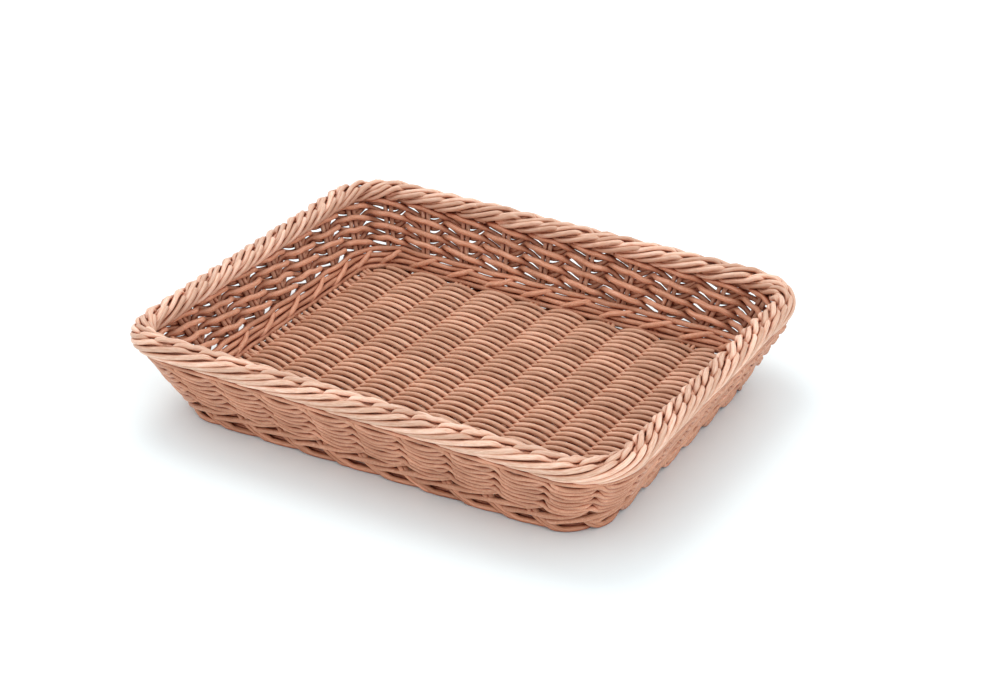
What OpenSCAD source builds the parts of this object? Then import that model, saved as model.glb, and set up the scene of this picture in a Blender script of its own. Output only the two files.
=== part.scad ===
// Low woven basket with flared walls, a wrapped cane border and a rounded foot.
// The long sides lie along X, the short sides along Y, and the foot rests on Z = 0.

/* [Basket] */
// Outer length of the border, along X
basket_length = 325; // [300:1:360]
// Outer width of the border, along Y
basket_width = 265; // [250:1:300]
// Height of the top of the border
basket_height = 60; // [58:1:66]
// How far the foot stands inside the border on each side
flare = 25; // [20:1:26]
// Corner radius along the outside of the border
border_corner = 38; // [36:1:44]
// Corner radius along the outside of the foot
foot_corner = 30; // [28:1:34]

/* [Cane] */
// Diameter of the woven cane strands
cane = 3; // [2.6:0.1:3]
// Diameter of the stakes that the strands pass around
stake = 3; // [2.6:0.1:3]
// Diameter of the steel wire inside the border
rim_wire_size = 4; // [3:0.1:4]
// Diameter of the steel wire inside the foot
foot_wire_size = 3; // [2:0.1:3]

/* [Weave] */
// Pairs of stakes in the straight part of each long wall
long_stakes = 8; // [6:2:8]
// Pairs of stakes in the straight part of each short wall
short_stakes = 6; // [5:1:7]
// Pairs of stakes around each corner
corner_stakes = 2; // [2:1:3]
// Distance between neighbouring strands on the floor
floor_pitch = 5.8; // [5:0.1:7]
// Strands in each of the two rows of the border
border_strands = 84; // [76:1:84]

/* [Hidden] */

cane_colour = "#d9a586";
deep_cane_colour = "#b97c5e";
steel_colour = "#a9adb2";

gap = 0.3;                                    // clearance between neighbouring strands
half_pair = (stake + gap) / 2;                // from the middle of a pair to each stake
layer = (cane + stake) / 2 + gap;             // from a stake's centre to a strand's centre
side_steps = [0 : 3];                         // near, right, far and left, a quarter turn apart

// The border is a tube of cane wrapped around the rim wire.
border_radius = 7.5;
border_z = basket_height - border_radius;
wrap_radius = border_radius - cane / 2;

// The foot is a round ring whose underside is cut flat.
foot_radius = 4;
foot_z = 3.7;
foot_inset = flare + foot_radius;

// The wall leans out by a constant slope, from the foot to just under the border.
wall_rounds = 5;
first_round_height = 10;                      // the lowest round is more open than the others
wall_bottom = 9;
wall_top = basket_height - 2 * border_radius;
border_overhang = 2.5;
wall_slope = (flare - border_overhang) / wall_top;
wall_lean = atan(wall_slope);
round_height = (wall_top - wall_bottom - first_round_height) / (wall_rounds - 1);
floor_z = 9.5;                                // centre of the stakes that cross the floor
stake_top = wall_top + cane / 2;

// Distance from the border's outside to the stakes' centres, and their corner radius.
function stake_inset(z) = flare - wall_slope * z + (cane + stake / 2 + gap) / cos(wall_lean);
function stake_corner(z) =
    foot_corner + (border_corner - foot_corner) * z / wall_top - cane - stake / 2 - gap;

// Half of the straight run, and the distance from the middle, of side 0 to 3 at one inset.
function half_run(side, inset, corner) =
    (side % 2 == 0 ? basket_length : basket_width) / 2 - inset - corner;
function reach(side, inset) = (side % 2 == 0 ? basket_width : basket_length) / 2 - inset;

// A point of the near side turned to side 0 to 3.
function turned(side, p) = [
    p.x * cos(90 * side) - p.y * sin(90 * side),
    p.x * sin(90 * side) + p.y * cos(90 * side),
    p.z
];

// A straight round rod between two points.
module rod(from, to, diameter) {
    run = to - from;
    translate(from)
        rotate([0, acos(run.z / norm(run)), atan2(run.y, run.x)])
            cylinder(d = diameter, h = norm(run), $fn = 24);
}

// A closed loop of round rod with rounded corners, lying flat at height z.
module loop(inset, corner, z, diameter) {
    for (side = side_steps)
        rotate(90 * side)
            translate([half_run(side, inset, corner), -reach(side, inset), z]) {
                translate([0, corner])
                    rotate(-90)
                        rotate_extrude(angle = 90, $fn = 48)
                            translate([corner, 0])
                                circle(d = diameter, $fn = 24);
                rotate([0, -90, 0])
                    cylinder(d = diameter, h = 2 * half_run(side, inset, corner), $fn = 24);
            }
}

// Steel frame, hidden by the cane wrapped around it.
module rim_wire() {
    color(steel_colour)
        loop(border_radius, border_corner - border_radius, border_z, rim_wire_size);
}

module foot_wire() {
    color(steel_colour)
        loop(foot_inset, foot_corner - foot_radius, foot_z, foot_wire_size);
}

// Roped foot: a closed ring around the foot wire, flat where it rests.
module foot_border() {
    color(deep_cane_colour)
        difference() {
            loop(foot_inset, foot_corner - foot_radius, foot_z, 2 * foot_radius);
            loop(foot_inset, foot_corner - foot_radius, foot_z, foot_wire_size + gap);
            translate([-basket_length / 2, -basket_width / 2, -foot_radius])
                cube([basket_length, basket_width, foot_radius]);
        }
}

// Half the length of a floor rod that lies across the floor at one offset from the middle.
function floor_half_length(side, offset, inset, corner) =
    let (past = max(0, abs(offset) - half_run(side, inset, corner)))
    reach(side, inset) - corner + sqrt(corner * corner - past * past);

floor_edge = 31;                              // inset of the upper strands' ends
floor_margins = 0.4;                          // both end gaps together, as a share of a pair's pitch

// Floor stakes: pairs of rods along Y, two pairs more than a long wall has.
module floor_stakes() {
    inset = stake_inset(floor_z);
    corner = stake_corner(floor_z);
    pairs = long_stakes + 2;
    pitch = (basket_length - 2 * floor_edge) / (pairs + floor_margins);
    color(deep_cane_colour)
        for (pair = [0 : pairs - 1], half = [-1, 1]) {
            x = (pair - (pairs - 1) / 2) * pitch + half * half_pair;
            y = floor_half_length(0, x, inset, corner);
            rod([x, -y, floor_z], [x, y, floor_z], stake);
        }
}

// Floor strands: rods along X in one layer above or below the floor stakes.
module floor_strands(rows, z, inset) {
    corner = stake_corner(floor_z) + stake_inset(floor_z) - inset;
    for (row = [0 : rows - 1]) {
        y = (row - (rows - 1) / 2) * floor_pitch;
        x = floor_half_length(1, y, inset, corner);
        rod([-x, y, z], [x, y, z], cane);
    }
}

floor_rows = 2 * floor((basket_width / 2 - floor_edge - cane / 2) / floor_pitch) + 1;

module floor_upper_strands() {
    color(cane_colour)
        floor_strands(floor_rows, floor_z + layer, floor_edge);
}

module floor_lower_strands() {
    color(deep_cane_colour)
        floor_strands(floor_rows - 1, floor_z - layer, foot_inset + foot_radius + 2 * gap);
}

// Centre of a stake in a straight wall, and of a stake on the corner that follows it.
function wall_point(side, along, shift, z) = turned(side, [
    along * half_run(side, stake_inset(z), stake_corner(z)) + shift,
    -reach(side, stake_inset(z)),
    z
]);
function corner_point(side, angle, shift, z) =
    let (corner = stake_corner(z), turn = angle - 90 + shift / corner * 180 / PI)
    turned(side, [
        half_run(side, stake_inset(z), corner) + corner * cos(turn),
        -reach(side, stake_inset(z)) + corner + corner * sin(turn),
        z
    ]);

module wall_stakes(side) {
    count = side % 2 == 0 ? long_stakes : short_stakes;
    color(deep_cane_colour)
        for (pair = [0 : count - 1], half = [-1, 1]) {
            along = (2 * pair + 1) / count - 1;
            shift = half * half_pair;
            rod(wall_point(side, along, shift, floor_z + gap),
                wall_point(side, along, shift, stake_top), stake);
        }
}

module corner_wall_stakes() {
    color(deep_cane_colour)
        for (side = side_steps, pair = [0 : corner_stakes - 1], half = [-1, 1]) {
            angle = 90 * (pair + 0.5) / corner_stakes;
            shift = half * half_pair;
            rod(corner_point(side, angle, shift, floor_z + gap),
                corner_point(side, angle, shift, stake_top), stake);
        }
}

// A size rounded to 0.01 mm, so that a loop's rods and bends meet face to face.
function neat(size) = round(size * 100) / 100;

// A strand loop that lies against the stakes, on the outside (1) or the inside (-1).
module wall_loop(z, face) {
    out = face * layer;
    loop(neat(stake_inset(z) - out * cos(wall_lean)),
         neat(stake_corner(z) + out * cos(wall_lean)),
         neat(z - out * sin(wall_lean)), cane);
}

// Height and middle of a round. Of its three strands, two show outside and one shows inside.
function round_size(number) = number == 1 ? first_round_height : round_height;
function round_z(number) = number == 1
    ? wall_bottom + first_round_height / 2
    : wall_bottom + first_round_height + (number - 1.5) * round_height;

module wall_round(number) {
    color(cane_colour)
        for (half = [-1, 1])
            wall_loop(round_z(number) + half * round_size(number) / 4, 1);
}

module wall_inner_strands() {
    color(deep_cane_colour)
        for (number = [1 : wall_rounds])
            wall_loop(round_z(number), -1);
}

// Centre line of the border: eight spans, from the near side's left end and then around.
border_bend = border_corner - border_radius;
spans = [for (side = side_steps, part = [0, 1])
    part == 0 ? 2 * half_run(side, border_radius, border_bend) : border_bend * PI / 2];
function total(list, end) = end == 0 ? 0 : list[end - 1] + total(list, end - 1);
border_length = total(spans, len(spans));

function span_at(s, span = 0) = s < spans[span] ? span : span_at(s - spans[span], span + 1);
function wrapped(s) = s - border_length * floor(s / border_length);

// A point on the border tube, at a distance along it and at an angle up from the outside.
function border_point(distance, angle, radius) =
    let (
        s = wrapped(distance),
        span = span_at(s),
        side = floor(span / 2),
        d = s - total(spans, span),
        turn = span % 2 == 0 ? -90 : -90 + d / border_bend * 180 / PI,
        run = half_run(side, border_radius, border_bend),
        bend_y = border_bend - reach(side, border_radius),
        x = span % 2 == 0 ? d - run : run,
        out = border_bend + radius * cos(angle)
    )
    turned(side, [x + out * cos(turn), bend_y + out * sin(turn), border_z + radius * sin(angle)]);

// A cane strand swept along the border tube, as six-sided rings joined by triangles.
module border_strand(start, first_angle, last_angle, run_length) {
    steps = 4;
    sides = 6;
    path = [for (step = [0 : steps]) [
        start + run_length * step / steps,
        first_angle + (last_angle - first_angle) * step / steps
    ]];
    centres = [for (p = path) border_point(p[0], p[1], wrap_radius)];
    outward = [for (p = path) border_point(p[0], p[1], wrap_radius + 1)] - centres; // 1 mm long
    points = [for (i = [0 : steps])
        let (
            run = centres[min(i + 1, steps)] - centres[max(i - 1, 0)],
            across = cross(run / norm(run), outward[i])
        )
        for (k = [0 : sides - 1])
            centres[i] + cane / 2 * (cos(360 * k / sides) * outward[i]
                                     + sin(360 * k / sides) * across)];
    faces = [for (i = [0 : steps - 1], k = [0 : sides - 1])
        let (a = i * sides + k, b = i * sides + (k + 1) % sides)
        for (face = [[a, b, b + sides], [a, b + sides, a + sides]]) face];
    start_cap = [for (k = [sides - 1 : -1 : 0]) k];
    end_cap = [for (k = [0 : sides - 1]) steps * sides + k];
    polyhedron(points, concat(faces, [start_cap, end_cap]));
}

// The strands of one row whose middle lies on the wanted span, or on any corner (-1).
module border_row(wanted, first_angle, last_angle, run_length) {
    color(cane_colour)
        for (number = [0 : border_strands - 1]) {
            start = number * border_length / border_strands;
            span = span_at(wrapped(start + run_length / 2));
            if (span == wanted || (wanted == -1 && span % 2 == 1))
                border_strand(start, first_angle, last_angle, run_length);
        }
}

// The outer row climbs from under the border to its top, the inner row goes over the top and inside.
outer_angles = [-60, 60];                     // degrees up from the outside
outer_run = 38;                               // length of an outer strand along the border
inner_angles = [72, 210];
inner_run = 44;

module border_outer(span) {
    border_row(span, outer_angles[0], outer_angles[1], outer_run);
}

module border_inner(span) {
    border_row(span, inner_angles[0], inner_angles[1], inner_run);
}

rim_wire();
foot_wire();
foot_border();
floor_stakes();
floor_upper_strands();
floor_lower_strands();
wall_stakes(0);  // near_wall_stakes
wall_stakes(1);  // right_wall_stakes
wall_stakes(2);  // far_wall_stakes
wall_stakes(3);  // left_wall_stakes
corner_wall_stakes();
wall_round(1);  // wall_round_1
wall_round(2);  // wall_round_2
wall_round(3);  // wall_round_3
wall_round(4);  // wall_round_4
wall_round(5);  // wall_round_5
wall_inner_strands();
border_outer(0);  // near_border_outer
border_outer(2);  // right_border_outer
border_outer(4);  // far_border_outer
border_outer(6);  // left_border_outer
border_outer(-1);  // corner_border_outer
border_inner(0);  // near_border_inner
border_inner(2);  // right_border_inner
border_inner(4);  // far_border_inner
border_inner(6);  // left_border_inner
border_inner(-1);  // corner_border_inner
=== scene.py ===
import math
from itertools import product

import bpy
import numpy as np
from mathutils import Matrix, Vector


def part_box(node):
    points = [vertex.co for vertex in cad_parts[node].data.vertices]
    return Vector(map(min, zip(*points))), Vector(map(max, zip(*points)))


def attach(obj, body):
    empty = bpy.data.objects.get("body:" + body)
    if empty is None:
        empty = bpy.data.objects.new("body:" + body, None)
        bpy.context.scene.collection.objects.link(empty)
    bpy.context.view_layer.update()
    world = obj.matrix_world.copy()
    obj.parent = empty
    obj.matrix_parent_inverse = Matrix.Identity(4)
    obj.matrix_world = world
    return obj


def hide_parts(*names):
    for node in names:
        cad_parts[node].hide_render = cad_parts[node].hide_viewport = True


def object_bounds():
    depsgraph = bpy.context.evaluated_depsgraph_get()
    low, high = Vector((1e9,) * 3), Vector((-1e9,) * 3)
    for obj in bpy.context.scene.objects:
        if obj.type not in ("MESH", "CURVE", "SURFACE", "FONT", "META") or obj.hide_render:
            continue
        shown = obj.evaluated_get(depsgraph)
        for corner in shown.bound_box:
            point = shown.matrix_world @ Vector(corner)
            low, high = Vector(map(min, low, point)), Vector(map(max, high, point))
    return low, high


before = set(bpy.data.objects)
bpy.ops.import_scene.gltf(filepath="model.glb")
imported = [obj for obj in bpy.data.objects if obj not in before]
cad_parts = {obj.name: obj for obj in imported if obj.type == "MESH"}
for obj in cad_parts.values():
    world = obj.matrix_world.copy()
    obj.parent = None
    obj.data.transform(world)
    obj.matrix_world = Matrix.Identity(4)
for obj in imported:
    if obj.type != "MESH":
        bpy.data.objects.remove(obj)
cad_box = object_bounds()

# Woven bread basket: every strand of the CAD frame is remade as bent, interlaced cane.
# Lengths are in metres, angles in degrees unless a name says otherwise.

MM = 0.001

# ---------------------------------------------------------------- sizes from the frame

BASKET_HIGH = cad_box[1]
RIM_LOW, RIM_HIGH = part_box("rim_wire")
FOOT_LOW, FOOT_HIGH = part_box("foot_border")
FLOOR_LOW, FLOOR_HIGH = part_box("floor_upper_strands")
STAKES_LOW, STAKES_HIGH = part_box("floor_stakes")
FIRST_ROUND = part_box("wall_round_1")[1]
LAST_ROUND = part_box("wall_round_5")[1]

CANE = (FLOOR_HIGH.z - FLOOR_LOW.z) / 2                  # radius of a strand
FLOOR_Z = (STAKES_HIGH.z + STAKES_LOW.z) / 2             # centre of the stakes in the floor
LAYER = FLOOR_HIGH.z - CANE - FLOOR_Z                    # from a stake's centre to a strand's
WIRE = (RIM_HIGH.z - RIM_LOW.z) / 2                      # radius of the steel in the border
BORDER_Z = RIM_HIGH.z - WIRE                             # centre line of the border, and its reach
BORDER_REACH = (RIM_HIGH.x - WIRE, RIM_HIGH.y - WIRE)
BORDER_RADIUS = BASKET_HIGH.z - BORDER_Z
BORDER_CORNER = 38 * MM                                  # corner radius along the border's outside
SHARPER_CORNER = 9 * MM                                  # taken off it at the near side's left end
SHARPER_STEPS = 3                                        # border strands over which that fades out
FOOT_CORNER = 30 * MM                                    # corner radius along the foot's outside

WALL_SLOPE = (LAST_ROUND.y - FIRST_ROUND.y) / (LAST_ROUND.z - FIRST_ROUND.z)
WALL_LEAN = math.atan(WALL_SLOPE)
WALL_TOP = BORDER_Z - BORDER_RADIUS

HALF_PAIR = CANE + 0.15 * MM                             # from a pair's middle to each stake
# Pairs of stakes, and border strands, on a long side, a corner, a short side and a corner.
STAKE_STEPS = (8, 2, 6, 2)
BORDER_STEPS = (17.4, 4.1, 16.4, 4.1)
STAKE_PAIRS = 2 * sum(STAKE_STEPS)
BORDER_STRANDS = 84
FLOOR_PAIRS = 10
FLOOR_PITCH = 2 * (STAKES_HIGH.x - CANE - HALF_PAIR) / (FLOOR_PAIRS - 1)
FLOOR_ROWS = 69

# The straight parts of the basket, by their number among its eight parts. The odd ones are corners.
SIDE_NAMES = {0: "near", 2: "right", 4: "far", 6: "left"}


# ---------------------------------------------------------------- shapes

def around(steps, s, reach_x, reach_y, corner):
    """Points and outward directions on a rounded rectangle around the basket.

    steps says how many steps a long side, a corner, a short side and a corner take. The other
    half repeats them. s counts steps from the left end of the near side.
    """
    s, reach_x, reach_y, corner = np.broadcast_arrays(s, reach_x, reach_y, corner)
    spans = np.array(steps * 2, float)
    ends = np.cumsum(spans)
    place = np.mod(s, ends[-1])
    span = np.minimum(np.searchsorted(ends, place, side="right"), len(spans) - 1)
    part = (place - ends[span] + spans[span]) / spans[span]
    side = span // 2
    bent = span % 2 == 1
    run = np.where(side % 2 == 0, reach_x, reach_y) - corner
    depth = np.where(side % 2 == 0, reach_y, reach_x) - corner
    turn = np.where(bent, part, 0) * math.pi / 2 - math.pi / 2
    x = np.where(bent, run, run * (2 * part - 1)) + corner * np.cos(turn)
    y = corner * np.sin(turn) - depth
    quarter = side * math.pi / 2
    point = np.stack([x * np.cos(quarter) - y * np.sin(quarter),
                      x * np.sin(quarter) + y * np.cos(quarter)], axis=-1)
    outward = np.stack([np.cos(turn + quarter), np.sin(turn + quarter)], axis=-1)
    return point, outward


def wall_path(s, z, out):
    """Points of the wall, at s steps around, beside the stakes' centre line at height z.

    out is the distance outward from that line, square to the leaning wall.
    """
    # The top strand of the last round says how far out the wall is, at its own height.
    height = LAST_ROUND.z - CANE + LAYER * math.sin(WALL_LEAN)
    reach = [edge - CANE - LAYER * math.cos(WALL_LEAN) + WALL_SLOPE * (z - height)
             for edge in (LAST_ROUND.x, LAST_ROUND.y)]
    corner = FOOT_CORNER + (BORDER_CORNER - FOOT_CORNER) * z / WALL_TOP - LAYER - CANE
    point, outward = around(STAKE_STEPS, s, *reach, corner)
    point = point + outward * (out * math.cos(WALL_LEAN))[:, None]
    return np.column_stack([point, z - out * math.sin(WALL_LEAN)])


def border_path(s, angle, radius):
    """Points on the border's tube, angle degrees up from its outside."""
    # How many steps each point is from the middle of the corner left of the near side.
    half_way = BORDER_STRANDS / 2
    from_corner = np.mod(s + BORDER_STEPS[3] / 2 + half_way, BORDER_STRANDS) - half_way
    sharper = SHARPER_CORNER * np.exp(-(from_corner / SHARPER_STEPS) ** 2)
    corner = BORDER_CORNER - BORDER_RADIUS - sharper
    point, outward = around(BORDER_STEPS, s, *BORDER_REACH, corner)
    angle = np.radians(angle)
    point = point + outward * (radius * np.cos(angle))[:, None]
    return np.column_stack([point, BORDER_Z + radius * np.sin(angle)])


def part_name(steps, s):
    """The name of the part of the basket that s steps around lies on."""
    ends = np.cumsum(steps * 2)
    part = int(np.searchsorted(ends, s % ends[-1], side="right"))
    return SIDE_NAMES.get(part, "corner")


def flow(keys, t, period=None):
    """A smooth curve through key rows of (t, value, value, ...), read at each t.

    With a period the curve repeats.
    """
    keys = np.array(keys, float)
    if period:
        t = np.mod(t, period)
        before, after = keys[-2:].copy(), keys[:2].copy()
        before[:, 0] -= period
        after[:, 0] += period
    else:
        before = 2 * keys[:1] - keys[1:2]
        after = 2 * keys[-1:] - keys[-2:-1]
    keys = np.vstack([before, keys, after])
    knots, values = keys[:, 0], keys[:, 1:]
    slopes = np.gradient(values, knots, axis=0)
    i = np.clip(np.searchsorted(knots, t, side="right") - 1, 0, len(knots) - 2)
    gap = (knots[i + 1] - knots[i])[:, None]
    f = ((t - knots[i])[:, None]) / gap
    return ((2 * f**3 - 3 * f**2 + 1) * values[i] + (f**3 - 2 * f**2 + f) * gap * slopes[i]
            + (3 * f**2 - 2 * f**3) * values[i + 1] + (f**3 - f**2) * gap * slopes[i + 1])


def wander(rng, count, size, waves):
    """A smooth uneven line of count values, about size high, the same at both ends.

    waves says how many times each of its sine waves goes up and down along it.
    """
    phase = np.linspace(0, 2 * math.pi, count, endpoint=False)
    total = np.zeros(count)
    for wave in waves:
        total += rng.normal() * np.sin(wave * phase + rng.uniform(0, 2 * math.pi))
    return size * total / math.sqrt(len(waves))


def tint_line(rng, count):
    """A tint that changes slowly along a long strand, between 0 and 1."""
    return np.clip(0.5 + wander(rng, count, 0.28, (7, 19, 41)), 0, 1)


SIDES = 10                                               # corners of a strand's cross-section
CAP = (35, 65)                                           # degrees of the rings of a rounded end


class Strands:
    """Collects round strands and makes one mesh of them."""

    def __init__(self):
        self.verts, self.faces, self.uvs, self.tints = [], [], [], []

    def add(self, points, radius, tint, closed=False):
        """One strand along points. radius and tint are one number, or one for each point."""
        points = np.asarray(points, float)
        radius = np.broadcast_to(radius, len(points)).astype(float)
        if closed:
            run = np.roll(points, -1, axis=0) - np.roll(points, 1, axis=0)
        else:
            points, radius = self._with_round_ends(points, radius)
            run = np.gradient(points, axis=0)
        run /= np.linalg.norm(run, axis=1)[:, None]
        across, up = self._frames(run, closed)
        first = len(self.verts)
        turn = np.arange(SIDES) * 2 * math.pi / SIDES
        rings = (points[:, None] + radius[:, None, None]
                 * (np.cos(turn)[None, :, None] * across[:, None]
                    + np.sin(turn)[None, :, None] * up[:, None]))
        self.verts.extend(rings.reshape(-1, 3).tolist())
        tint = np.broadcast_to(tint, len(points))
        self.tints.extend(np.repeat(tint, SIDES).tolist())
        lengths = np.linalg.norm(np.diff(points, axis=0, append=points[:1]), axis=1)
        along = np.concatenate([[0], np.cumsum(lengths)])
        self._join(first, len(points), along, closed)
        if not closed:
            self._close(first, points[0], along[0], tint[0], False)
            self._close(first + (len(points) - 1) * SIDES, points[-1], along[-2], tint[-1], True)

    @staticmethod
    def _with_round_ends(points, radius):
        """The points and radii with the rings of a rounded cap added at both ends."""
        start = points[0] - points[1]
        end = points[-1] - points[-2]
        start /= np.linalg.norm(start)
        end /= np.linalg.norm(end)
        lift = np.sin(np.radians(CAP))
        shrink = np.cos(np.radians(CAP))
        points = np.vstack([points[0] + start * (radius[0] * lift[::-1])[:, None], points,
                            points[-1] + end * (radius[-1] * lift)[:, None]])
        radius = np.concatenate([radius[0] * shrink[::-1], radius, radius[-1] * shrink])
        return points, radius

    @staticmethod
    def _frames(run, closed):
        """Two directions square to each run. Open strands carry them along without twisting."""
        upright = np.array([0.0, 0.0, 1.0])
        if closed:
            across = np.cross(run, upright)
            across /= np.linalg.norm(across, axis=1)[:, None]
            return across, np.cross(across, run)
        # A strand that starts out upright is measured against the x axis instead.
        start = upright if abs(run[0][2]) < 0.9 else np.array([1.0, 0.0, 0.0])
        across = np.empty_like(run)
        last = np.cross(run[0], start)
        for i, direction in enumerate(run):
            last = last - direction * np.dot(last, direction)
            last = last / np.linalg.norm(last)
            across[i] = last
        return across, np.cross(across, run)

    def _join(self, first, rings, along, closed):
        """Four-sided faces between neighbouring rings, with the length along and the turn as UVs."""
        for i in range(rings if closed else rings - 1):
            a = first + i * SIDES
            b = first + (i + 1) % rings * SIDES
            for k in range(SIDES):
                n = (k + 1) % SIDES
                self.faces.append((a + k, b + k, b + n, a + n))
                low, high = k / SIDES, (k + 1) / SIDES
                self.uvs.extend((along[i], low, along[i + 1], low,
                                 along[i + 1], high, along[i], high))

    def _close(self, ring, centre, along, tint, last):
        """A fan of triangles that closes the first or last ring of an open strand."""
        tip = len(self.verts)
        self.verts.append(list(centre))
        self.tints.append(tint)
        for k in range(SIDES):
            n = (k + 1) % SIDES
            corners = (ring + k, tip, ring + n) if not last else (ring + n, tip, ring + k)
            self.faces.append(corners)
            self.uvs.extend((along, k / SIDES) * 3)

    def piece(self, name, material, slot, *nodes):
        """The mesh object of these strands, standing for the CAD nodes."""
        mesh = bpy.data.meshes.new(name)
        mesh.from_pydata(self.verts, [], self.faces)
        mesh.polygons.foreach_set("use_smooth", [True] * len(mesh.polygons))
        mesh.uv_layers.new(name="along").data.foreach_set("uv", self.uvs)
        mesh.attributes.new("tint", "FLOAT", "POINT").data.foreach_set("value", self.tints)
        mesh.materials.append(material)
        mesh.validate()
        piece = bpy.data.objects.new(name, mesh)
        bpy.context.scene.collection.objects.link(piece)
        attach(piece, "root")
        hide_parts(*nodes)
        return piece


# ---------------------------------------------------------------- materials

def new_material(name):
    material = bpy.data.materials.new(name)
    material.use_nodes = True
    return material, material.node_tree.nodes, material.node_tree.links


def ramp(nodes, links, source, stops):
    """A colour ramp of (position, colour) stops, driven by source."""
    node = nodes.new("ShaderNodeValToRGB")
    elements = node.color_ramp.elements
    while len(elements) < len(stops):
        elements.new(0.5)
    for element, (position, colour) in zip(elements, stops):
        element.position = position
        element.color = (*colour, 1)
    links.new(source, node.inputs["Fac"])
    return node.outputs["Color"]


def noise(nodes, links, vector, scale, detail, roughness=0.5):
    """A noise texture's values, between 0 and 1, read at vector."""
    node = nodes.new("ShaderNodeTexNoise")
    node.inputs["Scale"].default_value = scale
    node.inputs["Detail"].default_value = detail
    node.inputs["Roughness"].default_value = roughness
    links.new(vector, node.inputs["Vector"])
    return node.outputs["Fac"]


def blend(nodes, links, kind, factor, first, second):
    """A Mix node of two colours. factor is a number or a socket."""
    node = nodes.new("ShaderNodeMix")
    node.data_type = "RGBA"
    node.blend_type = kind
    if isinstance(factor, (int, float)):
        node.inputs[0].default_value = factor
    else:
        links.new(factor, node.inputs[0])
    for socket, value in ((node.inputs[6], first), (node.inputs[7], second)):
        if isinstance(value, tuple):
            socket.default_value = (*value, 1)
        else:
            links.new(value, socket)
    return node.outputs[2]


def maths(nodes, links, kind, first, second=0.0):
    """A Math node of two numbers or sockets."""
    node = nodes.new("ShaderNodeMath")
    node.operation = kind
    for socket, value in zip(node.inputs, (first, second)):
        if isinstance(value, (int, float)):
            socket.default_value = value
        else:
            links.new(value, socket)
    return node.outputs[0]


# Painted shade of the hollows between strands, from the darkest to half open: colours multiplied into
# the cane where ambient occlusion finds strands close by.
SHALLOW_HOLLOW_PAINTED_SHADE = ((0.48, 0.21, 0.135), (0.83, 0.62, 0.53))
DEEP_HOLLOW_PAINTED_SHADE = ((0.36, 0.13, 0.075), (0.73, 0.49, 0.40))
PAINTED_SHADE_REACH = 3.6 * MM                                  # how far a hollow's shade looks for walls
STREAK_SHIFT = 57                                        # moves the streaks from strand to strand


def cane_material(name, deep, middle, light, painted_shade_colours=DEEP_HOLLOW_PAINTED_SHADE):
    """Satin cane: streaks along each strand, cloudy patches, a tint of each strand's own that on the
    wall strands' inside parts is raised as painted light, and painted shade in the hollows between
    strands.
    """
    material, nodes, links = new_material(name)
    shader = nodes["Principled BSDF"]
    uv = nodes.new("ShaderNodeUVMap")
    uv.uv_map = "along"
    tint = nodes.new("ShaderNodeAttribute")
    tint.attribute_name = "tint"
    split = nodes.new("ShaderNodeSeparateXYZ")
    links.new(uv.outputs["UV"], split.inputs[0])
    turn = maths(nodes, links, "MULTIPLY", split.outputs[1], 2 * math.pi)
    ring_x = maths(nodes, links, "COSINE", turn)
    ring_y = maths(nodes, links, "SINE", turn)
    shift = maths(nodes, links, "MULTIPLY", tint.outputs["Fac"], STREAK_SHIFT)

    def stretched(length_scale):
        """Coordinates that run slowly along the strand and go once around it."""
        along = maths(nodes, links, "MULTIPLY", split.outputs[0], length_scale)
        along = maths(nodes, links, "ADD", along, shift)
        join = nodes.new("ShaderNodeCombineXYZ")
        links.new(ring_x, join.inputs[0])
        links.new(ring_y, join.inputs[1])
        links.new(along, join.inputs[2])
        return join.outputs[0]

    # The smaller the number in stretched, the longer the pattern is drawn out along the strand.
    streaks = noise(nodes, links, stretched(45), scale=4.5, detail=5, roughness=0.6)
    patches = noise(nodes, links, stretched(70), scale=1.1, detail=3)
    fine = noise(nodes, links, stretched(160), scale=9, detail=4, roughness=0.65)
    base = ramp(nodes, links, streaks, ((0.30, deep), (0.50, middle), (0.72, light)))
    frost = ramp(nodes, links, patches, ((0.46, (0, 0, 0)), (0.74, (0.62, 0.62, 0.62))))
    colour = blend(nodes, links, "MIX", frost, base, light)
    # Each strand's own tone, which on the wall strands' inside parts also holds painted light.
    own = ramp(nodes, links, tint.outputs["Fac"],
               ((0.0, (0.80, 0.74, 0.70)), (0.55, (0.98, 0.97, 0.96)), (1.0, (1.18, 1.19, 1.21))))
    colour = blend(nodes, links, "MULTIPLY", 1.0, colour, own)
    # Painted shade: ambient occlusion darkens the colour in the hollows between strands.
    hollow = nodes.new("ShaderNodeAmbientOcclusion")
    hollow.samples = 8
    hollow.inputs["Distance"].default_value = PAINTED_SHADE_REACH
    shade = ramp(nodes, links, hollow.outputs["AO"],
                 ((0.22, painted_shade_colours[0]), (0.56, painted_shade_colours[1]), (0.92, (1, 1, 1))))
    colour = blend(nodes, links, "MULTIPLY", 1.0, colour, shade)
    links.new(colour, shader.inputs["Base Color"])
    rough = nodes.new("ShaderNodeMapRange")
    rough.inputs["To Min"].default_value = 0.34
    rough.inputs["To Max"].default_value = 0.60
    links.new(streaks, rough.inputs["Value"])
    links.new(rough.outputs[0], shader.inputs["Roughness"])
    shader.inputs["Specular IOR Level"].default_value = 0.45
    shader.inputs["Subsurface Weight"].default_value = 0.08
    shader.inputs["Subsurface Radius"].default_value = (1.0, 0.45, 0.25)
    shader.inputs["Subsurface Scale"].default_value = 0.6 * MM
    relief = maths(nodes, links, "ADD", streaks, maths(nodes, links, "MULTIPLY", fine, 0.45))
    bump = nodes.new("ShaderNodeBump")
    bump.inputs["Strength"].default_value = 0.55
    bump.inputs["Distance"].default_value = 0.22 * MM
    links.new(relief, bump.inputs["Height"])
    links.new(bump.outputs[0], shader.inputs["Normal"])
    return material


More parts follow.
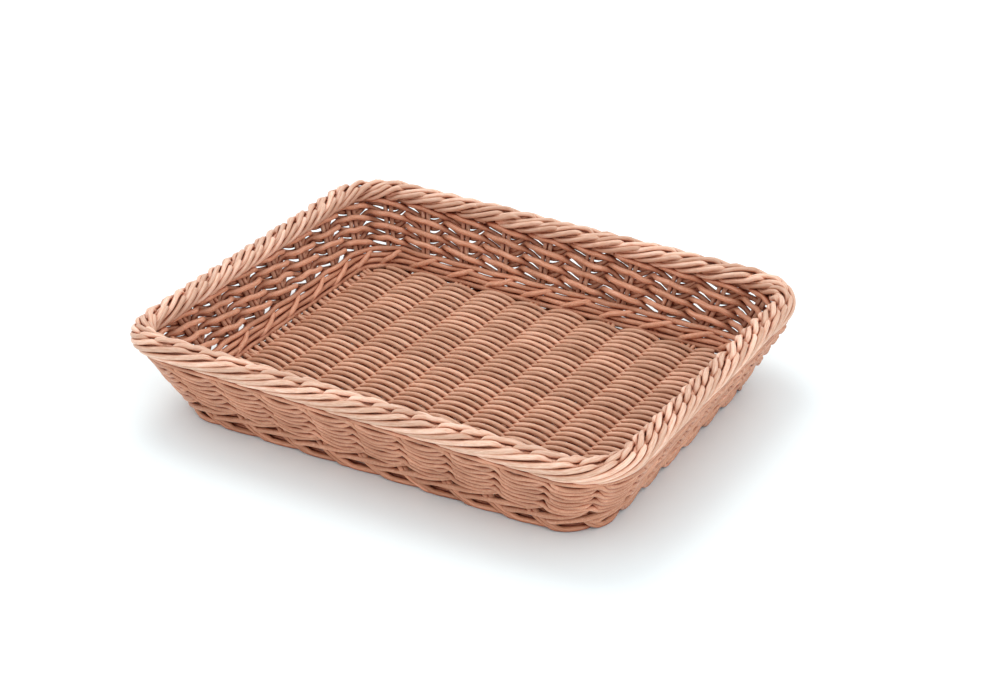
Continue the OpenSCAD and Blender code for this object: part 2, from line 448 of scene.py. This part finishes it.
def steel_material():
    """Drawn steel wire with fine scratches and a little dull patchiness."""
    material, nodes, links = new_material("steel_wire")
    shader = nodes["Principled BSDF"]
    place = nodes.new("ShaderNodeTexCoord")
    cloud = noise(nodes, links, place.outputs["Object"], scale=90, detail=4)
    scratch = noise(nodes, links, place.outputs["Object"], scale=900, detail=3, roughness=0.7)
    colour = ramp(nodes, links, cloud, ((0.35, (0.32, 0.30, 0.29)), (0.7, (0.52, 0.52, 0.53))))
    links.new(colour, shader.inputs["Base Color"])
    shader.inputs["Metallic"].default_value = 0.9
    shader.inputs["Roughness"].default_value = 0.42
    bump = nodes.new("ShaderNodeBump")
    bump.inputs["Strength"].default_value = 0.3
    bump.inputs["Distance"].default_value = 0.05 * MM
    links.new(scratch, bump.inputs["Height"])
    links.new(bump.outputs[0], shader.inputs["Normal"])
    return material


# One cane in four lit and shaded copies. The border's is painted lighter, as painted light from above.
# The wall's, the floor's (also on the wall stakes) and the deep one (lower floor strands, floor stakes,
# foot) are painted darker, as painted shade.
BORDER_PAINTED_LIGHT_LOOK = cane_material("border_cane_painted_light", (0.58, 0.30, 0.19), (0.74, 0.46, 0.325), (0.90, 0.67, 0.54),
                            SHALLOW_HOLLOW_PAINTED_SHADE)
WALL_PAINTED_SHADE_LOOK = cane_material("wall_cane_painted_shade", (0.44, 0.175, 0.09), (0.57, 0.262, 0.152), (0.74, 0.42, 0.285))
FLOOR_PAINTED_SHADE_LOOK = cane_material("floor_cane_painted_shade", (0.50, 0.235, 0.13), (0.63, 0.345, 0.22), (0.80, 0.51, 0.365))
DEEP_PAINTED_SHADE_LOOK = cane_material("deep_cane", (0.44, 0.17, 0.085), (0.59, 0.265, 0.15), (0.74, 0.41, 0.27))
STEEL_LOOK = steel_material()


# ---------------------------------------------------------------- steel wires

for node in ("rim_wire", "foot_wire"):
    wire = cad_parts[node]
    wire.data.materials.clear()
    wire.data.materials.append(STEEL_LOOK)


# ---------------------------------------------------------------- floor

FLOOR_STEP = 1.25 * MM                                   # between the points of a floor strand
FLOOR_CREST = 0.75                                       # below 1, flattens the tops of its waves
FLOOR_RISE = 0.10 * MM                                   # how far it strays up and down
FLOOR_DRIFT = 0.16 * MM                                  # how far it strays to the sides
STAKE_DRIFT = 0.12 * MM                                  # how far a floor stake strays to the sides
STAKE_POINTS = 60                                        # points along a floor stake
SHORTER_STAKE = 6 * MM                                   # less at each end of the outermost stakes


def floor_half_length(y):
    """How far a floor strand at that y reaches from the middle, inside the rounded corners."""
    corner = FOOT_CORNER - LAYER
    edge = FLOOR_HIGH.x
    past = np.clip(abs(y) - (FLOOR_HIGH.y - corner), 0, corner)
    return edge - corner + math.sqrt(corner * corner - past * past)


def make_floor():
    """Plain weave: each strand goes over one pair of stakes and under the next."""
    rng = np.random.default_rng(11)
    upper, lower = Strands(), Strands()
    pitch = (FLOOR_HIGH.y - FLOOR_LOW.y - 2 * CANE) / (FLOOR_ROWS - 1)
    for row in range(FLOOR_ROWS):
        y = (row - (FLOOR_ROWS - 1) / 2) * pitch
        half = floor_half_length(y) - CANE
        count = int(half / FLOOR_STEP)
        x = np.linspace(-half, half, count)
        way = 1 if row % 2 == 0 else -1
        wave = np.sin(math.pi * x / FLOOR_PITCH)
        lift = way * np.sign(wave) * np.abs(wave) ** FLOOR_CREST
        z = FLOOR_Z + lift * LAYER + wander(rng, count, FLOOR_RISE, (3, 7))
        side = y + wander(rng, count, FLOOR_DRIFT, (4, 9))
        target = upper if row % 2 == 0 else lower
        target.add(np.column_stack([x, side, z]), CANE * rng.uniform(1.0, 1.08), rng.uniform())
    upper.piece("floor_strands_first", FLOOR_PAINTED_SHADE_LOOK, "cane", "floor_upper_strands")
    lower.piece("floor_strands_second", FLOOR_PAINTED_SHADE_LOOK, "deep_cane", "floor_lower_strands")


def make_floor_stakes():
    """Pairs of nearly straight stakes from the near wall to the far wall."""
    rng = np.random.default_rng(12)
    stakes = Strands()
    for pair in range(FLOOR_PAIRS):
        for half in (-1, 1):
            x = (pair - (FLOOR_PAIRS - 1) / 2) * FLOOR_PITCH + half * HALF_PAIR
            end = STAKES_HIGH.y - CANE
            if pair in (0, FLOOR_PAIRS - 1):
                end -= SHORTER_STAKE
            y = np.linspace(-end, end, STAKE_POINTS)
            bow = wander(rng, len(y), STAKE_DRIFT, (1, 3))
            stakes.add(np.column_stack([x + bow, y, np.full(len(y), FLOOR_Z)]), CANE, rng.uniform())
    stakes.piece("floor_stakes_bent", DEEP_PAINTED_SHADE_LOOK, "deep_cane", "floor_stakes")


# ---------------------------------------------------------------- walls

def step_length(s, z):
    """Distance between neighbouring pairs of stakes, at s steps around."""
    part = 0.05
    ahead = wall_path(s + part, z, np.zeros_like(z))
    behind = wall_path(s - part, z, np.zeros_like(z))
    return np.linalg.norm(ahead - behind, axis=1) / (2 * part)


# The bend of a wall stake out of the floor: distance inward and height, from its foot.
STAKE_BEND = ((11 * MM, 0), (8 * MM, 0), (5 * MM, 0.2 * MM), (2.4 * MM, 1 * MM), (0.4 * MM, 2.4 * MM))
STAKE_START = 4 * MM                                     # height above the floor where it is straight
STAKE_END = 2.5 * MM                                     # how far it goes up into the border
CLIMB_POINTS = 16                                        # points on its straight part


def make_wall_stakes():
    """Pairs that leave the floor in a bend, climb the wall and end inside the border."""
    rng = np.random.default_rng(13)
    groups = {}
    for pair in range(STAKE_PAIRS):
        middle = pair + 0.5
        group = groups.setdefault(part_name(STAKE_STEPS, middle), Strands())
        pitch = step_length(np.array([middle]), np.array([WALL_TOP / 2]))[0]
        for half in (-1, 1):
            s = middle + half * HALF_PAIR / pitch
            z = np.linspace(FLOOR_Z + STAKE_START, WALL_TOP + STAKE_END, CLIMB_POINTS)
            wall = wall_path(np.full(len(z), s), z, np.zeros(len(z)))
            foot = wall_path(np.array([s]), np.array([FLOOR_Z]), np.zeros(1))[0]
            outward = around(STAKE_STEPS, s, *BORDER_REACH, FOOT_CORNER)[1].reshape(2)
            bend = [foot + np.append(-outward * inward, height) for inward, height in STAKE_BEND]
            group.add(np.vstack([bend, wall]), CANE, rng.uniform())
    for name, strands in groups.items():
        node = name + "_wall_stakes"
        strands.piece(node + "_bent", FLOOR_PAINTED_SHADE_LOOK, "deep_cane", node)


# One strand of a round, over the three pairs of stakes it takes to repeat: outside two, inside one.
# Columns: steps, height in row spacings, share of the sag, place (1 outside, -1 inside).
WALE = (
    (0.00, 0.75, 0.95, 0.10),
    (0.10, 0.78, 0.68, 1.00),
    (0.30, 0.50, 0.06, 1.05),
    (0.60, 0.50, 0.12, 1.00),
    (0.88, 0.50, 0.74, 1.04),
    (1.00, 0.34, 0.96, 1.22),
    (1.12, -0.24, 0.66, 1.22),
    (1.32, -0.50, 0.06, 1.05),
    (1.62, -0.50, 0.12, 1.00),
    (1.88, -0.52, 0.72, 0.90),
    (2.02, -0.32, 0.90, 0.00),
    (2.17, 0.06, 0.78, -1.00),
    (2.50, 0.42, 0.74, -1.12),
    (2.80, 0.70, 0.74, -1.00),
    (2.91, 0.71, 0.82, -0.45),
)
# The lowest round is laid more openly, and its strands climb steadily past two pairs.
OPEN_WALE = (
    (0.00, -0.85, 0.3, 0.25),
    (0.15, -0.80, 0.0, 1.00),
    (0.50, -0.52, 0.0, 1.05),
    (1.00, -0.05, 0.3, 1.15),
    (1.50, 0.46, 0.1, 1.10),
    (1.85, 1.00, 0.3, 0.80),
    (2.04, 1.05, 0.3, 0.00),
    (2.26, 0.60, 0.3, -1.10),
    (2.50, 0.05, 0.3, -1.50),
    (2.74, -0.40, 0.3, -1.10),
    (2.92, -0.75, 0.3, -0.30),
)
ROUNDS = 5
ROUND_STEPS = 14                                         # points of a strand from pair to pair
SAG_MIDDLE = 0.4                                         # share of the sag that moves no strand
FULL_SAG_PITCH = 30 * MM                                 # pairs closer than this sag less between
# For each round, how deep its strands sag between the stakes, and how much higher it lies.
ROUND_SAG = (1.0 * MM, 4.0 * MM, 4.5 * MM, 4.7 * MM, 4.2 * MM)
ROUND_LIFT = (0.0, -0.2 * MM, 0.0, 0.2 * MM, 0.5 * MM)
# How far the strands of a round stray: share of the sag, height, and place out from the wall.
ROUND_WAVES = (11, 23, 37)
SAG_DRIFT = 0.14
HEIGHT_DRIFT = 0.34 * MM
PLACE_DRIFT = 0.16 * MM
# A plain strand that closes the corner under the border: its height above the wall, and its place.
COLLAR_LIFT = 1.6 * MM
COLLAR_PLACE = 0.9 * LAYER
COLLAR_DRIFT = 0.2 * MM
# Plain strands that close the inside of the lowest round: heights from its middle, and their place.
FLOOR_EDGE_LIFTS = (-4.4 * MM, -1.2 * MM, 2.0 * MM, 5.2 * MM)
FLOOR_EDGE_PLACE = 0.95                                  # layers inward
FLOOR_EDGE_CANE = 1.12 * CANE
FLOOR_EDGE_DRIFT = 0.3 * MM


def make_wall_round(number):
    """One round of weaving, whose three strands take turns to pass behind a pair of stakes."""
    rng = np.random.default_rng(20 + number)
    low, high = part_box(f"wall_round_{number}")
    middle = (low.z + high.z) / 2 + LAYER * math.sin(WALL_LEAN) + ROUND_LIFT[number - 1]
    row_spacing = high.z - low.z - 2 * CANE
    s = np.arange(0, STAKE_PAIRS, 1 / ROUND_STEPS)
    stretch = step_length(s, np.full(len(s), middle)) / FULL_SAG_PITCH
    # Evened out over one pair, so that the sag doesn't jump where a corner starts.
    smooth = np.ones(ROUND_STEPS) / ROUND_STEPS
    stretch = np.convolve(np.tile(stretch, 3), smooth, "same")[len(s):2 * len(s)]
    keys = OPEN_WALE if number == 1 else WALE
    strands = Strands()
    for strand in range(3):
        sag = ROUND_SAG[number - 1] * stretch * (1 + wander(rng, len(s), SAG_DRIFT, ROUND_WAVES))
        height, share, place = flow(keys, s + strand, period=3).T
        uneven = wander(rng, len(s), HEIGHT_DRIFT, (13, 27, 43, 57, 71))
        z = middle + row_spacing * height + sag * (share - SAG_MIDDLE) + uneven
        out = place * LAYER + wander(rng, len(s), PLACE_DRIFT, (17, 37))
        radius = CANE * (1.15 - 0.03 * place)            # a little thicker inside than outside
        # Painted light: the tint is raised where a strand runs inside the basket, to paint the shaded
        # inside walls lighter.
        painted_light_inside = 0.5 * (place < -0.5)
        tint = np.clip(tint_line(rng, len(s)) + painted_light_inside, 0, 1)
        strands.add(wall_path(s, z, out), radius, tint, True)
    if number == ROUNDS:
        z = WALL_TOP + COLLAR_LIFT + wander(rng, len(s), COLLAR_DRIFT, ROUND_WAVES)
        outside = np.full(len(s), COLLAR_PLACE)
        strands.add(wall_path(s, z, outside), CANE, tint_line(rng, len(s)), True)
    if number == 1:
        for lift in FLOOR_EDGE_LIFTS:
            inside = -LAYER * (FLOOR_EDGE_PLACE + wander(rng, len(s), 0.12, (19, 37)))
            z = middle + lift + wander(rng, len(s), FLOOR_EDGE_DRIFT, ROUND_WAVES)
            strands.add(wall_path(s, z, inside), FLOOR_EDGE_CANE, tint_line(rng, len(s)), True)
    name = f"wall_round_{number}"
    strands.piece(name + "_woven", WALL_PAINTED_SHADE_LOOK, "cane", name, "wall_inner_strands")


# ---------------------------------------------------------------- border

# The border's three rows: up the outside, over the top and down the inside. Each strand starts
# and ends hidden under its neighbours.
# Columns: border steps from the strand's own, angle up from the outside, share of the wrap radius.
OUTER = (
    (-1.90, -108, 0.86),
    (-1.35, -90, 1.00),
    (-0.70, -68, 1.02),
    (0.00, -46, 1.00),
    (0.80, -21, 1.00),
    (1.60, 5, 1.00),
    (2.30, 31, 1.03),
    (2.80, 51, 1.10),
    (2.95, 57, 1.08),
    (3.05, 61, 0.92),
    (3.15, 67, 0.66),
    (3.60, 88, 0.50),
    (4.80, 150, 0.50),
    (6.20, 225, 0.50),
)
TOP = (
    (1.10, -30, 0.48),
    (2.10, 8, 0.48),
    (3.10, 46, 0.48),
    (3.50, 65, 0.50),
    (3.58, 69, 0.76),
    (3.68, 74, 1.04),
    (3.86, 82, 1.13),
    (4.25, 99, 1.10),
    (4.60, 116, 1.07),
    (4.90, 131, 1.00),
    (5.15, 143, 0.88),
    (5.50, 159, 0.66),
    (6.00, 184, 0.50),
)
INSIDE = (
    (4.00, 62, 0.46),
    (4.80, 102, 0.48),
    (5.12, 117, 0.54),
    (5.20, 121, 0.80),
    (5.30, 126, 1.07),
    (5.48, 134, 1.15),
    (5.80, 149, 1.12),
    (6.30, 173, 1.04),
    (6.80, 200, 0.95),
    (7.20, 226, 0.84),
    (7.50, 247, 0.72),
)
BORDER_CANE = 1.06 * CANE                                # radius of a border strand
BORDER_POINTS = 52                                       # points along one
BORDER_WAVES = (1, 2)
PAIR_SHIFT = 0.05                                        # steps each of a pair moves toward the other
# How far a strand may be off: degrees at its start and along it, share of the wrap radius, steps.
LOOSE_START = 6
LOOSE_ANGLE = 2.4
LOOSE_SHARE = 0.035
LOOSE_STEP = 0.08


def make_border(row, paths, seed):
    """Rows of slanting strands around the border, one for each path, grouped by where they lie."""
    rng = np.random.default_rng(seed)
    wrap = BORDER_RADIUS - BORDER_CANE
    groups = {}
    for keys, number in product(paths, range(BORDER_STRANDS)):
        first, last = keys[0][0], keys[-1][0]
        t = np.linspace(first, last, BORDER_POINTS)
        angle, share = flow(keys, t).T
        shift = PAIR_SHIFT if number % 2 == 0 else -PAIR_SHIFT
        loose = rng.normal() * LOOSE_START * (last - t) / (last - first)
        angle = angle + loose + wander(rng, len(t), LOOSE_ANGLE, BORDER_WAVES)
        share = share + LOOSE_SHARE * rng.normal()
        s = number + shift + t + rng.normal() * LOOSE_STEP
        name = part_name(BORDER_STEPS, number + (first + last) / 2)
        points = border_path(s, angle, share * wrap)
        radius = BORDER_CANE * rng.uniform(0.98, 1.04)
        groups.setdefault(name, Strands()).add(points, radius, rng.uniform())
    for name, strands in groups.items():
        node = f"{name}_border_{row}"
        strands.piece(node + "_wrapped", BORDER_PAINTED_LIGHT_LOOK, "cane", node)


# ---------------------------------------------------------------- foot

# Columns: stake steps from the strand's own, height above the ground in mm, place outward in mm.
FOOT_PLUNGE = (
    (-0.44, 14.6, -4.2),
    (-0.30, 14.2, -1.4),
    (-0.18, 12.6, 1.0),
    (-0.04, 9.0, 2.3),
    (0.10, 5.2, 2.4),
    (0.26, 2.5, 2.1),
    (0.70, 1.7, 1.2),
    (1.10, 1.7, -0.8),
    (1.45, 2.6, -3.4),
)
FOOT_POINTS = 34                                         # points along a strand
FOOT_DRIFT = 0.3 * MM                                    # how far one strays
FOOT_PAIR_SHIFT = 0.14                                   # steps from a pair's first to its second
FOOT_LOOSE_STEP = 0.02                                   # how many steps a strand may be off
FOOT_REST = 1.65 * MM                                    # lowest centre of a strand, clear of the ground
# Closed strands behind the rope, and the one that covers the steel wire from above.
BACKING_HEIGHTS = (2.4 * MM, 5.6 * MM, 8.8 * MM, 11.6 * MM)
BACKING_PLACE = -1.9 * MM
BACKING_CANE = 1.08 * CANE
BACKING_WAVES = (17, 31, 43)
WIRE_COVER_HEIGHT = 6.5 * MM
WIRE_COVER_PLACE = -4.3 * MM
WIRE_COVER_CANE = 0.95 * CANE


def make_foot():
    """Pairs of strands that plunge over the outside of the foot and run on along its bottom."""
    rng = np.random.default_rng(40)
    foot = Strands()
    bulge = (FOOT_LOW.z + FOOT_HIGH.z) / 2

    def foot_path(s, z, out):
        """Points over the foot, at s stake steps, that lean out with the wall."""
        point, outward = around(STAKE_STEPS, s, FOOT_HIGH.x - CANE, FOOT_HIGH.y - CANE,
                                FOOT_CORNER - CANE)
        out = out + WALL_SLOPE * np.maximum(z - bulge, 0)
        return np.column_stack([point + outward * out[:, None], z])

    for pair in range(STAKE_PAIRS):
        for half in (0, 1):
            t = np.linspace(FOOT_PLUNGE[0][0], FOOT_PLUNGE[-1][0], FOOT_POINTS)
            z, out = flow(FOOT_PLUNGE, t).T * MM
            s = pair + FOOT_PAIR_SHIFT * half + t + rng.normal() * FOOT_LOOSE_STEP
            z = np.maximum(z + wander(rng, len(t), FOOT_DRIFT, (1, 2)), FOOT_REST)
            foot.add(foot_path(s, z, out), CANE * rng.uniform(1.0, 1.06), rng.uniform())
    s = np.arange(0, STAKE_PAIRS, 1 / ROUND_STEPS)
    for height in BACKING_HEIGHTS:
        z = height + wander(rng, len(s), FOOT_DRIFT, BACKING_WAVES)
        out = BACKING_PLACE + wander(rng, len(s), FOOT_DRIFT, BACKING_WAVES)
        foot.add(foot_path(s, z, out), BACKING_CANE, tint_line(rng, len(s)), True)
    z = np.full(len(s), WIRE_COVER_HEIGHT)
    out = np.full(len(s), WIRE_COVER_PLACE)
    foot.add(foot_path(s, z, out), WIRE_COVER_CANE, tint_line(rng, len(s)), True)
    foot.piece("foot_border_roped", DEEP_PAINTED_SHADE_LOOK, "deep_cane", "foot_border")


make_floor()
make_floor_stakes()
make_wall_stakes()
for number in range(1, ROUNDS + 1):
    make_wall_round(number)
make_border("outer", [OUTER], seed=31)
make_border("inner", [TOP, INSIDE], seed=32)
make_foot()


# ---------------------------------------------------------------- studio

def make_floor_plane():
    """A pale matt ground, a little blue to cancel the warm light that the basket throws back."""
    size = 6.0
    mesh = bpy.data.meshes.new("studio_floor")
    mesh.from_pydata([(-size, -size, 0), (size, -size, 0), (size, size, 0), (-size, size, 0)],
                     [], [(0, 1, 2, 3)])
    material, nodes, _ = new_material("studio_floor")
    shader = nodes["Principled BSDF"]
    shader.inputs["Base Color"].default_value = (0.90, 0.985, 1.0, 1)
    shader.inputs["Roughness"].default_value = 0.6
    mesh.materials.append(material)
    plane = bpy.data.objects.new("studio_floor", mesh)
    bpy.context.scene.collection.objects.link(plane)


def make_light(name, place, size, power, colour):
    """A round soft light at place, turned to the basket."""
    target = (0, 0, 0.02)
    data = bpy.data.lights.new(name, "AREA")
    data.shape = "DISK"
    data.size = size
    data.energy = power
    data.color = colour
    light = bpy.data.objects.new(name, data)
    light.location = place
    light.rotation_mode = "QUATERNION"
    light.rotation_quaternion = (Vector(target) - Vector(place)).to_track_quat("-Z", "Y")
    bpy.context.scene.collection.objects.link(light)


def make_world():
    """Even pale light from all around."""
    world = bpy.data.worlds.new("studio")
    world.use_nodes = True
    background = world.node_tree.nodes["Background"]
    background.inputs["Color"].default_value = (0.97, 0.98, 1.0, 1)
    background.inputs["Strength"].default_value = 1.1
    bpy.context.scene.world = world


def make_camera():
    """A long lens from the near right, looking down at the middle of the basket."""
    azimuth, elevation = math.radians(30.43), math.radians(28.06)
    distance = 1.318
    back = Vector((math.sin(azimuth) * math.cos(elevation),
                   -math.cos(azimuth) * math.cos(elevation),
                   math.sin(elevation)))
    target = Vector((0, 0, 0.04))
    data = bpy.data.cameras.new("camera")
    data.sensor_width = 36
    data.lens = 80.7
    data.shift_x = 0.030
    data.shift_y = -0.0072
    data.clip_start = 0.05
    camera = bpy.data.objects.new("camera", data)
    camera.location = target + back * distance
    camera.rotation_mode = "QUATERNION"
    camera.rotation_quaternion = (-back).to_track_quat("-Z", "Y")
    bpy.context.scene.collection.objects.link(camera)
    bpy.context.scene.camera = camera


make_floor_plane()
make_world()
make_light("key", (-0.6, 0.5, 1.6), size=1.0, power=7.5, colour=(1.0, 0.98, 0.95))
make_light("fill", (1.7, -0.6, 1.0), size=1.4, power=5, colour=(1.0, 1.0, 1.0))
make_camera()
bpy.context.scene.view_settings.view_transform = "Standard"
